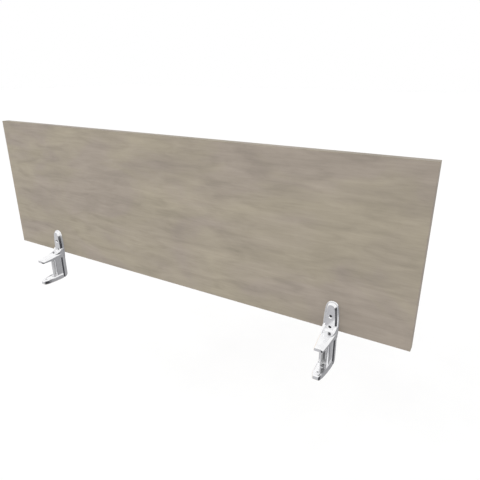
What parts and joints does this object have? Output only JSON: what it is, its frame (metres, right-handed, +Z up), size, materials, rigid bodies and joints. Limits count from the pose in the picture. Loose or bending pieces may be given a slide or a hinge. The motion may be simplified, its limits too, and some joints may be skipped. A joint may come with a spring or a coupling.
{
  "type": "desk privacy panel",
  "caption": "Straight wood-decor screen board for the edge of a desk, carried by two polished cast clamps whose lower jaws are wound up by a screw to grip the desk top.",
  "frame": {"origin": "midway along the panel, on the face that carries the clamps, at the level of the desk's upper surface (underside of the clamps' pads)", "axes": "+X along the panel, +Y from the clamped face to the far face (away from the desk), +Z up"},
  "size_m": [1.6, 0.1274, 0.61],
  "materials": {
    "decor_board": "melamine-faced chipboard, greige oak decor, fine matt",
    "edge_band": "2 mm ABS edge band in the board's decor",
    "cast_metal": "polished die-cast",
    "screw_steel": "zinc plated",
    "spring_steel": "phosphated",
    "plate_steel": "machined",
    "pad_rubber": "matt moulded"
  },
  "bodies": {
    "screen": {"core_board": "decor_board", "top_edge_band": "edge_band", "bottom_edge_band": "edge_band", "left_edge_band": "edge_band", "right_edge_band": "edge_band", "left_clamp_body": "cast_metal", "left_jaw_pad": "pad_rubber", "left_panel_screws": "screw_steel", "left_bearing_plate": "plate_steel", "left_bearing_screws": "screw_steel", "right_clamp_body": "cast_metal", "right_jaw_pad": "pad_rubber", "right_panel_screws": "screw_steel", "right_bearing_plate": "plate_steel", "right_bearing_screws": "screw_steel"},
    "left_jaw": {"left_lower_jaw": "cast_metal", "left_travelling_nut": "screw_steel"},
    "left_screw": {"left_adjusting_screw": "screw_steel", "left_retaining_ring": "spring_steel"},
    "right_jaw": {"right_lower_jaw": "cast_metal", "right_travelling_nut": "screw_steel"},
    "right_screw": {"right_adjusting_screw": "screw_steel", "right_retaining_ring": "spring_steel"}
  },
  "joints": [
    {"name": "left_jaw_slide", "type": "slide", "parent": "screen", "child": "left_jaw", "axis": [0, 0, 1], "range_m": [0, 0.052]},
    {"name": "left_screw_spin", "type": "hinge", "parent": "screen", "child": "left_screw", "pos_m": [-0.563, -0.024, -0.06], "axis": [0, 0, 1], "range_deg": [-14976.5, 0]},
    {"name": "right_jaw_slide", "type": "slide", "parent": "screen", "child": "right_jaw", "axis": [0, 0, 1], "range_m": [0, 0.052]},
    {"name": "right_screw_spin", "type": "hinge", "parent": "screen", "child": "right_screw", "pos_m": [0.583, -0.024, -0.06], "axis": [0, 0, 1], "range_deg": [-14976.5, 0]}
  ],
  "couplings": [
    {"joint": "left_screw_spin", "follows": "left_jaw_slide", "rad_per_m": -5026.5},
    {"joint": "right_screw_spin", "follows": "right_jaw_slide", "rad_per_m": -5026.5}
  ]
}
